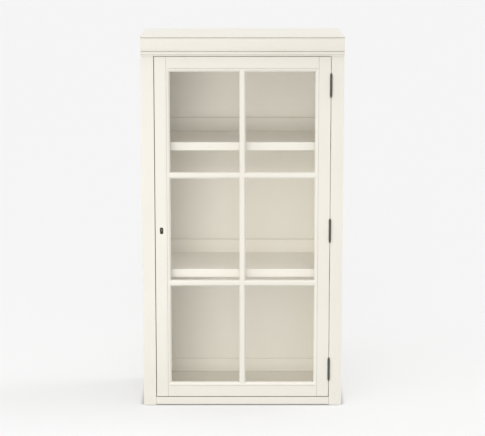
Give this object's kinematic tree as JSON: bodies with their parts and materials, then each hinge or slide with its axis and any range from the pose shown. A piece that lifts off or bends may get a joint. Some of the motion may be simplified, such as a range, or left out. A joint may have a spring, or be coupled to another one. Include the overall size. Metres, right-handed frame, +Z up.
{
  "type": "apothecary cabinet",
  "caption": "Tall free-standing painted display cabinet with a glazed, muntin-barred hinged door, cupboard lock, lift-off shelves and a crown moulding.",
  "frame": {"origin": "middle of the overall footprint, on the floor", "axes": "+X to the viewer's right, +Y from the door to the back, +Z up"},
  "size_m": [0.711, 0.376, 1.328],
  "materials": {
    "paint": "brushed satin ivory paint over wood",
    "glass": "clear window glass",
    "nickel": "satin nickel, slightly worn",
    "steel": "plain zinc-plated steel",
    "bronze": "dark bronzed brass",
    "beech": "bare beech"
  },
  "bodies": {
    "carcass": {"side_panel_left": "paint", "side_panel_right": "paint", "floor_panel": "paint", "ceiling_panel": "paint", "top_board": "paint", "back_panel": "paint", "face_stile_left": "paint", "face_stile_right": "paint", "face_top_rail": "paint", "base_rail": "paint", "crown_moulding": "paint", "floor_upstand": "paint", "door_stop_top": "paint", "door_stop_side": "paint", "shelf_pins": "nickel", "carcass_dowels": "beech", "back_panel_screws": "steel", "strike_plate": "nickel", "strike_screws": "steel", "hinge_top_frame_leaf": "nickel", "hinge_middle_frame_leaf": "nickel", "hinge_bottom_frame_leaf": "nickel", "hinge_top_pin": "nickel", "hinge_middle_pin": "nickel", "hinge_bottom_pin": "nickel", "hinge_frame_screws": "steel"},
    "door": {"door_stile_lock": "paint", "door_stile_hinge": "paint", "door_top_rail": "paint", "door_bottom_rail": "paint", "door_dowels": "beech", "glazing_bar_upright": "paint", "glazing_bar_upper_left": "paint", "glazing_bar_upper_right": "paint", "glazing_bar_lower_left": "paint", "glazing_bar_lower_right": "paint", "glass_top_left": "glass", "glass_top_right": "glass", "glass_middle_left": "glass", "glass_middle_right": "glass", "glass_bottom_left": "glass", "glass_bottom_right": "glass", "glazing_beads": "paint", "keyhole_escutcheon": "bronze", "lock_case": "steel", "lock_cover": "steel", "lock_spring": "steel", "lock_screws": "steel", "hinge_top_door_leaf": "nickel", "hinge_middle_door_leaf": "nickel", "hinge_bottom_door_leaf": "nickel", "hinge_door_screws": "steel"},
    "lock_bolt": {"lock_bolt": "nickel"},
    "upper_shelf": {"shelf_upper": "paint", "shelf_upper_nosing": "paint", "shelf_upper_upstand": "paint"},
    "lower_shelf": {"shelf_lower": "paint", "shelf_lower_nosing": "paint", "shelf_lower_upstand": "paint"}
  },
  "joints": [
    {"name": "door_swing", "type": "hinge", "parent": "carcass", "child": "door", "pos_m": [0.3097, -0.175, 0.6395], "axis": [0, 0, 1], "range_deg": [0, 170]},
    {"name": "lock_bolt_throw", "type": "slide", "parent": "door", "child": "lock_bolt", "axis": [-1, 0, 0], "range_m": [0, 0.008]},
    {"name": "upper_shelf_lift", "type": "slide", "parent": "carcass", "child": "upper_shelf", "axis": [0, 0, 1], "range_m": [0, 0.06]},
    {"name": "lower_shelf_lift", "type": "slide", "parent": "carcass", "child": "lower_shelf", "axis": [0, 0, 1], "range_m": [0, 0.06]}
  ]
}
